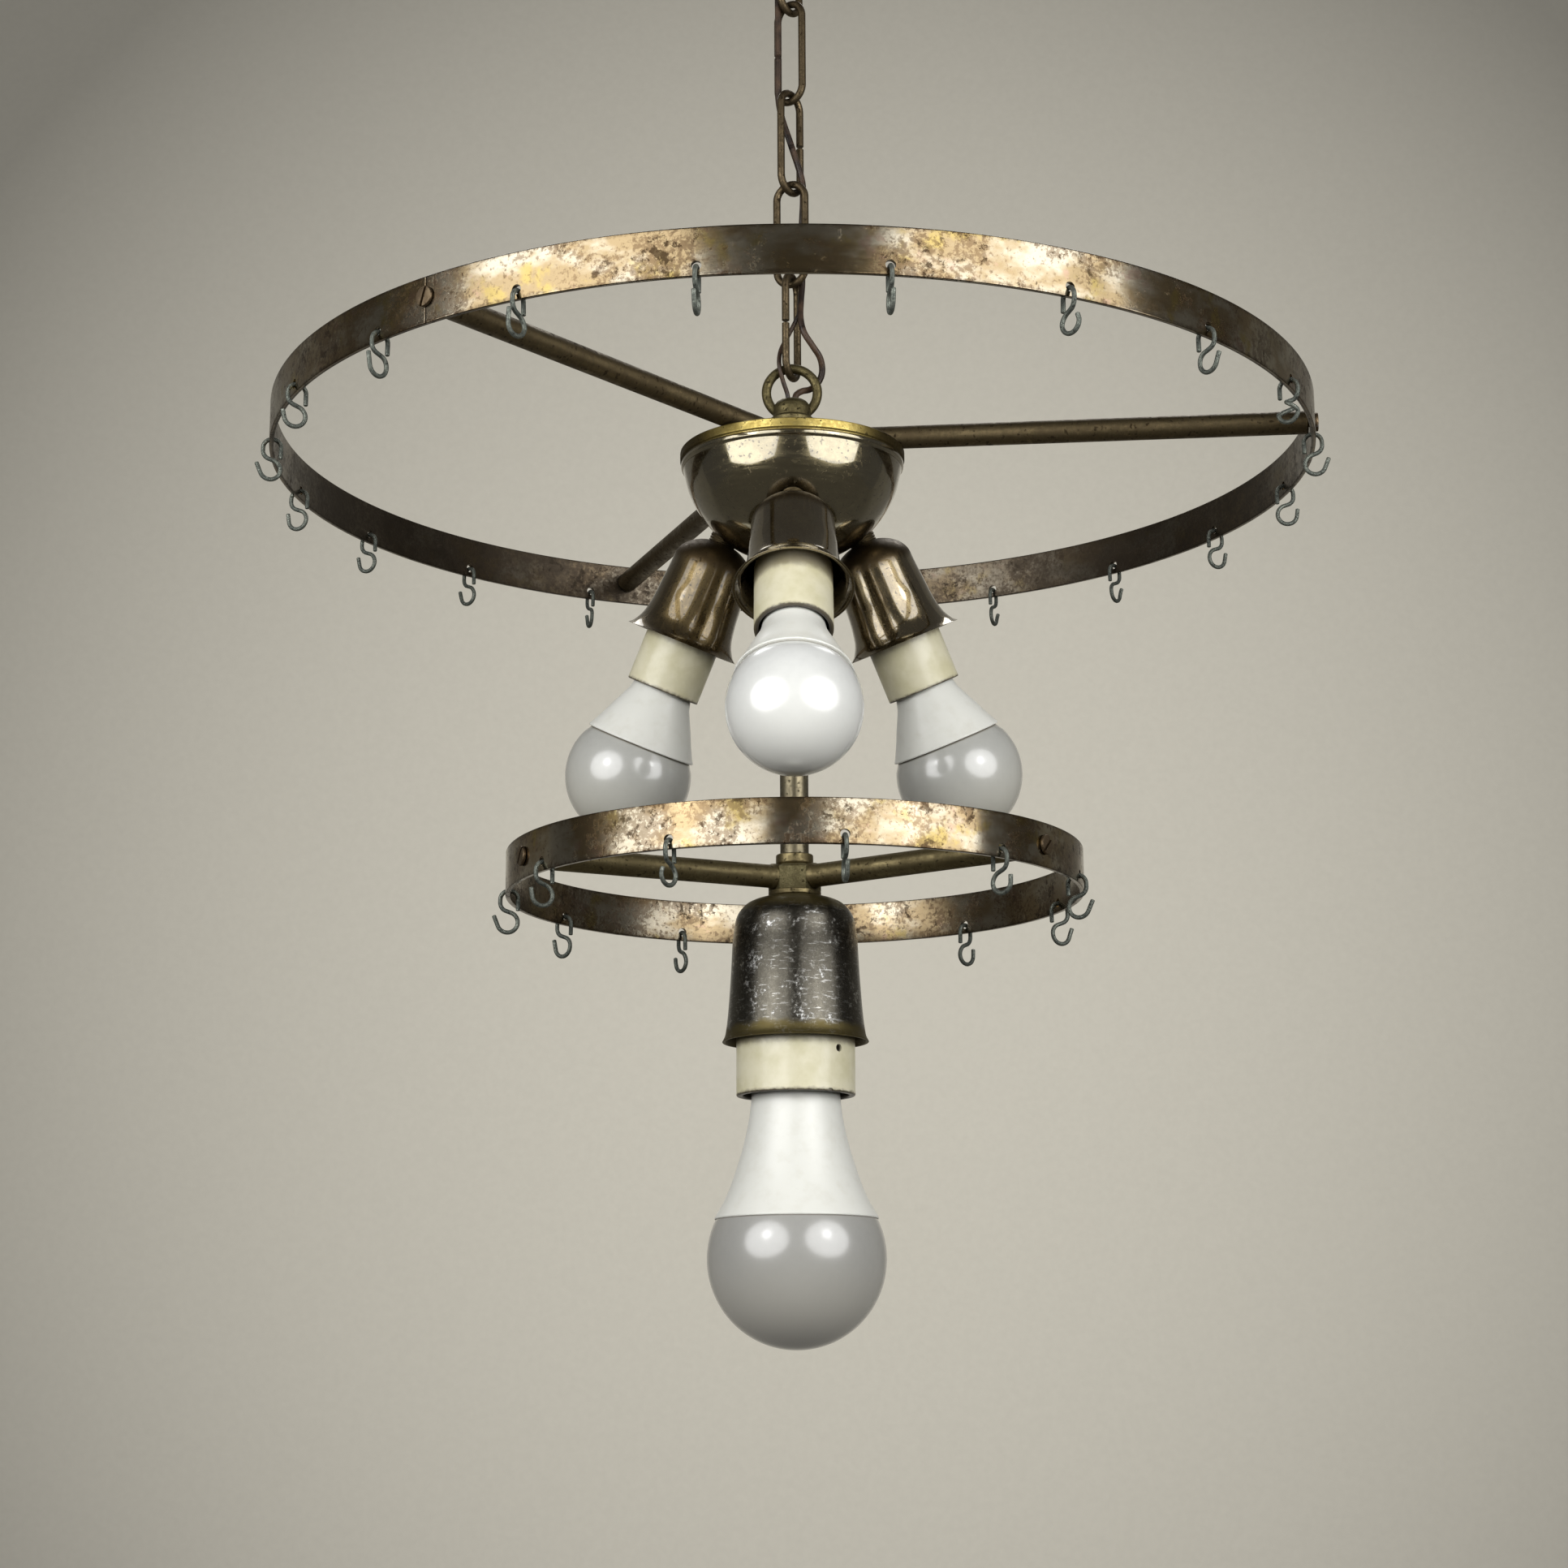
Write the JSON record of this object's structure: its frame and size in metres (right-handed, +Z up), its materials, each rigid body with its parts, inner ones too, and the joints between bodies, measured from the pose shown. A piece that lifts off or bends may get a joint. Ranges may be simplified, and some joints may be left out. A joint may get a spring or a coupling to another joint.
{
  "type": "chandelier frame",
  "caption": "Hanging two-tier brass chandelier frame on a chain, with hooked hoops for glass drops, tilted candle sockets round a bowl hub, a bottom socket and frosted bulbs",
  "frame": {"origin": "the middle of the crossbar's top face, which lies against the ceiling, on the lamp's axis", "axes": "+Z up along the chain and rod; -Y points to the side that the picture shows; +X to the right there"},
  "size_m": [0.3686, 0.3686, 0.5895],
  "materials": {
    "dark_brass": "satin",
    "old_brass": "satin",
    "hoop_brass": "satin",
    "gunmetal": "satin",
    "zinc_wire": "satin",
    "cream_plastic": "gloss",
    "opal_white": "gloss",
    "brown_lead": "matte"
  },
  "bodies": {
    "ceiling_fitting": {"ceiling_crossbar": "zinc_wire", "ceiling_cup": "dark_brass", "ceiling_eye": "dark_brass", "supply_lead": "brown_lead"},
    "chain_link_1": {"chain_link_1": "dark_brass"},
    "chain_link_2": {"chain_link_2": "dark_brass"},
    "chain_link_3": {"chain_link_3": "dark_brass"},
    "chain_link_4": {"chain_link_4": "dark_brass"},
    "chain_link_5": {"chain_link_5": "dark_brass"},
    "lamp_frame": {"hub_eye": "old_brass", "hub_cover": "old_brass", "hub_bowl": "dark_brass", "centre_rod": "old_brass", "upper_arms": "dark_brass", "upper_hoop": "hoop_brass", "lower_arms": "old_brass", "lower_hoop": "hoop_brass", "upper_cup_1": "dark_brass", "upper_lampholder_1": "cream_plastic", "upper_cup_2": "dark_brass", "upper_lampholder_2": "cream_plastic", "upper_cup_3": "dark_brass", "upper_lampholder_3": "cream_plastic", "lower_cup": "gunmetal", "lower_lampholder": "cream_plastic"},
    "upper_bulb_1": {"upper_bulb_1": "opal_white"},
    "upper_bulb_2": {"upper_bulb_2": "opal_white"},
    "upper_bulb_3": {"upper_bulb_3": "opal_white"},
    "lower_bulb": {"lower_bulb": "opal_white"},
    "upper_hook_1": {"upper_hook_1": "zinc_wire"},
    "upper_hook_2": {"upper_hook_2": "zinc_wire"},
    "upper_hook_3": {"upper_hook_3": "zinc_wire"},
    "upper_hook_4": {"upper_hook_4": "zinc_wire"},
    "upper_hook_5": {"upper_hook_5": "zinc_wire"},
    "upper_hook_6": {"upper_hook_6": "zinc_wire"},
    "upper_hook_7": {"upper_hook_7": "zinc_wire"},
    "upper_hook_8": {"upper_hook_8": "zinc_wire"},
    "upper_hook_9": {"upper_hook_9": "zinc_wire"},
    "upper_hook_10": {"upper_hook_10": "zinc_wire"},
    "upper_hook_11": {"upper_hook_11": "zinc_wire"},
    "upper_hook_12": {"upper_hook_12": "zinc_wire"},
    "upper_hook_13": {"upper_hook_13": "zinc_wire"},
    "upper_hook_14": {"upper_hook_14": "zinc_wire"},
    "upper_hook_15": {"upper_hook_15": "zinc_wire"},
    "upper_hook_16": {"upper_hook_16": "zinc_wire"},
    "upper_hook_17": {"upper_hook_17": "zinc_wire"},
    "upper_hook_18": {"upper_hook_18": "zinc_wire"},
    "upper_hook_19": {"upper_hook_19": "zinc_wire"},
    "upper_hook_20": {"upper_hook_20": "zinc_wire"},
    "lower_hook_1": {"lower_hook_1": "zinc_wire"},
    "lower_hook_2": {"lower_hook_2": "zinc_wire"},
    "lower_hook_3": {"lower_hook_3": "zinc_wire"},
    "lower_hook_4": {"lower_hook_4": "zinc_wire"},
    "lower_hook_5": {"lower_hook_5": "zinc_wire"},
    "lower_hook_6": {"lower_hook_6": "zinc_wire"},
    "lower_hook_7": {"lower_hook_7": "zinc_wire"},
    "lower_hook_8": {"lower_hook_8": "zinc_wire"},
    "lower_hook_9": {"lower_hook_9": "zinc_wire"},
    "lower_hook_10": {"lower_hook_10": "zinc_wire"},
    "lower_hook_11": {"lower_hook_11": "zinc_wire"}
  },
  "joints": [
    {"name": "top_link_swing", "type": "hinge", "parent": "ceiling_fitting", "child": "chain_link_1", "pos_m": [0, 0, -0.07405], "axis": [1, 0, 0], "range_deg": [-35, 35], "deforming": ["supply_lead"]},
    {"name": "second_link_swing", "type": "hinge", "parent": "chain_link_1", "child": "chain_link_2", "pos_m": [0, 0, -0.1088], "axis": [-0.6157, -0.788, 0], "range_deg": [-35, 35]},
    {"name": "third_link_swing", "type": "hinge", "parent": "chain_link_2", "child": "chain_link_3", "pos_m": [0, 0, -0.1441], "axis": [-0.788, 0.6157, 0], "range_deg": [-35, 35]},
    {"name": "fourth_link_swing", "type": "hinge", "parent": "chain_link_3", "child": "chain_link_4", "pos_m": [0, 0, -0.1794], "axis": [-0.6157, -0.788, 0], "range_deg": [-35, 35]},
    {"name": "fifth_link_swing", "type": "hinge", "parent": "chain_link_4", "child": "chain_link_5", "pos_m": [0, 0, -0.2147], "axis": [0.9063, -0.4226, 0], "range_deg": [-35, 35]},
    {"name": "lamp_swing", "type": "hinge", "parent": "chain_link_5", "child": "lamp_frame", "pos_m": [0, 0, -0.25], "axis": [0.3746, 0.9272, 0], "range_deg": [-35, 35]},
    {"name": "upper_bulb_1_out", "type": "slide", "parent": "lamp_frame", "child": "upper_bulb_1", "axis": [0, -0.4384, -0.8988], "range_m": [0, 0.0235]},
    {"name": "upper_bulb_2_out", "type": "slide", "parent": "lamp_frame", "child": "upper_bulb_2", "axis": [0.3796, 0.2192, -0.8988], "range_m": [0, 0.0235]},
    {"name": "upper_bulb_3_out", "type": "slide", "parent": "lamp_frame", "child": "upper_bulb_3", "axis": [-0.3796, 0.2192, -0.8988], "range_m": [0, 0.0235]},
    {"name": "lower_bulb_out", "type": "slide", "parent": "lamp_frame", "child": "lower_bulb", "axis": [0, 0, -1], "range_m": [0, 0.028]},
    {"name": "upper_hook_1_swing", "type": "hinge", "parent": "lamp_frame", "child": "upper_hook_1", "pos_m": [0.02831, -0.17872, -0.28494], "axis": [0.9877, 0.1564, 0], "range_deg": [-50, 50]},
    {"name": "upper_hook_2_swing", "type": "hinge", "parent": "lamp_frame", "child": "upper_hook_2", "pos_m": [0.08215, -0.16123, -0.28494], "axis": [0.891, 0.454, 0], "range_deg": [-50, 50]},
    {"name": "upper_hook_3_swing", "type": "hinge", "parent": "lamp_frame", "child": "upper_hook_3", "pos_m": [0.12795, -0.12795, -0.28494], "axis": [0.7071, 0.7071, 0], "range_deg": [-50, 50]},
    {"name": "upper_hook_4_swing", "type": "hinge", "parent": "lamp_frame", "child": "upper_hook_4", "pos_m": [0.16123, -0.08215, -0.28494], "axis": [0.454, 0.891, 0], "range_deg": [-50, 50]},
    {"name": "upper_hook_5_swing", "type": "hinge", "parent": "lamp_frame", "child": "upper_hook_5", "pos_m": [0.17872, -0.02831, -0.28494], "axis": [0.1564, 0.9877, 0], "range_deg": [-50, 50]},
    {"name": "upper_hook_6_swing", "type": "hinge", "parent": "lamp_frame", "child": "upper_hook_6", "pos_m": [0.17872, 0.02831, -0.28494], "axis": [-0.1564, 0.9877, 0], "range_deg": [-50, 50]},
    {"name": "upper_hook_7_swing", "type": "hinge", "parent": "lamp_frame", "child": "upper_hook_7", "pos_m": [0.16123, 0.08215, -0.28494], "axis": [-0.454, 0.891, 0], "range_deg": [-50, 50]},
    {"name": "upper_hook_8_swing", "type": "hinge", "parent": "lamp_frame", "child": "upper_hook_8", "pos_m": [0.12795, 0.12795, -0.28494], "axis": [-0.7071, 0.7071, 0], "range_deg": [-50, 50]},
    {"name": "upper_hook_9_swing", "type": "hinge", "parent": "lamp_frame", "child": "upper_hook_9", "pos_m": [0.08215, 0.16123, -0.28494], "axis": [-0.891, 0.454, 0], "range_deg": [-50, 50]},
    {"name": "upper_hook_10_swing", "type": "hinge", "parent": "lamp_frame", "child": "upper_hook_10", "pos_m": [0.02831, 0.17872, -0.28494], "axis": [-0.9877, 0.1564, 0], "range_deg": [-50, 50]},
    {"name": "upper_hook_11_swing", "type": "hinge", "parent": "lamp_frame", "child": "upper_hook_11", "pos_m": [-0.02831, 0.17872, -0.28494], "axis": [-0.9877, -0.1564, 0], "range_deg": [-50, 50]},
    {"name": "upper_hook_12_swing", "type": "hinge", "parent": "lamp_frame", "child": "upper_hook_12", "pos_m": [-0.08215, 0.16123, -0.28494], "axis": [-0.891, -0.454, 0], "range_deg": [-50, 50]},
    {"name": "upper_hook_13_swing", "type": "hinge", "parent": "lamp_frame", "child": "upper_hook_13", "pos_m": [-0.12795, 0.12795, -0.28494], "axis": [-0.7071, -0.7071, 0], "range_deg": [-50, 50]},
    {"name": "upper_hook_14_swing", "type": "hinge", "parent": "lamp_frame", "child": "upper_hook_14", "pos_m": [-0.16123, 0.08215, -0.28494], "axis": [-0.454, -0.891, 0], "range_deg": [-50, 50]},
    {"name": "upper_hook_15_swing", "type": "hinge", "parent": "lamp_frame", "child": "upper_hook_15", "pos_m": [-0.17872, 0.02831, -0.28494], "axis": [-0.1564, -0.9877, 0], "range_deg": [-50, 50]},
    {"name": "upper_hook_16_swing", "type": "hinge", "parent": "lamp_frame", "child": "upper_hook_16", "pos_m": [-0.17872, -0.02831, -0.28494], "axis": [0.1564, -0.9877, 0], "range_deg": [-50, 50]},
    {"name": "upper_hook_17_swing", "type": "hinge", "parent": "lamp_frame", "child": "upper_hook_17", "pos_m": [-0.16123, -0.08215, -0.28494], "axis": [0.454, -0.891, 0], "range_deg": [-50, 50]},
    {"name": "upper_hook_18_swing", "type": "hinge", "parent": "lamp_frame", "child": "upper_hook_18", "pos_m": [-0.12795, -0.12795, -0.28494], "axis": [0.7071, -0.7071, 0], "range_deg": [-50, 50]},
    {"name": "upper_hook_19_swing", "type": "hinge", "parent": "lamp_frame", "child": "upper_hook_19", "pos_m": [-0.08215, -0.16123, -0.28494], "axis": [0.891, -0.454, 0], "range_deg": [-50, 50]},
    {"name": "upper_hook_20_swing", "type": "hinge", "parent": "lamp_frame", "child": "upper_hook_20", "pos_m": [-0.02831, -0.17872, -0.28494], "axis": [0.9877, -0.1564, 0], "range_deg": [-50, 50]},
    {"name": "lower_hook_1_swing", "type": "hinge", "parent": "lamp_frame", "child": "lower_hook_1", "pos_m": [0.01524, -0.09625, -0.43804], "axis": [0.9877, 0.1564, 0], "range_deg": [-50, 50]},
    {"name": "lower_hook_2_swing", "type": "hinge", "parent": "lamp_frame", "child": "lower_hook_2", "pos_m": [0.06486, -0.07273, -0.43804], "axis": [0.7463, 0.6656, 0], "range_deg": [-50, 50]},
    {"name": "lower_hook_3_swing", "type": "hinge", "parent": "lamp_frame", "child": "lower_hook_3", "pos_m": [0.09389, -0.02612, -0.43804], "axis": [0.268, 0.9634, 0], "range_deg": [-50, 50]},
    {"name": "lower_hook_4_swing", "type": "hinge", "parent": "lamp_frame", "child": "lower_hook_4", "pos_m": [0.0931, 0.02879, -0.43804], "axis": [-0.2954, 0.9554, 0], "range_deg": [-50, 50]},
    {"name": "lower_hook_5_swing", "type": "hinge", "parent": "lamp_frame", "child": "lower_hook_5", "pos_m": [0.06276, 0.07455, -0.43804], "axis": [-0.765, 0.644, 0], "range_deg": [-50, 50]},
    {"name": "lower_hook_6_swing", "type": "hinge", "parent": "lamp_frame", "child": "lower_hook_6", "pos_m": [0.01249, 0.09665, -0.43804], "axis": [-0.9918, 0.1282, 0], "range_deg": [-50, 50]},
    {"name": "lower_hook_7_swing", "type": "hinge", "parent": "lamp_frame", "child": "lower_hook_7", "pos_m": [-0.04174, 0.08806, -0.43804], "axis": [-0.9036, -0.4284, 0], "range_deg": [-50, 50]},
    {"name": "lower_hook_8_swing", "type": "hinge", "parent": "lamp_frame", "child": "lower_hook_8", "pos_m": [-0.08273, 0.05151, -0.43804], "axis": [-0.5286, -0.8489, 0], "range_deg": [-50, 50]},
    {"name": "lower_hook_9_swing", "type": "hinge", "parent": "lamp_frame", "child": "lower_hook_9", "pos_m": [-0.09744, -0.00139, -0.43804], "axis": [0.0143, -0.9999, 0], "range_deg": [-50, 50]},
    {"name": "lower_hook_10_swing", "type": "hinge", "parent": "lamp_frame", "child": "lower_hook_10", "pos_m": [-0.08122, -0.05385, -0.43804], "axis": [0.5526, -0.8334, 0], "range_deg": [-50, 50]},
    {"name": "lower_hook_11_swing", "type": "hinge", "parent": "lamp_frame", "child": "lower_hook_11", "pos_m": [-0.03921, -0.08921, -0.43804], "axis": [0.9155, -0.4024, 0], "range_deg": [-50, 50]}
  ]
}
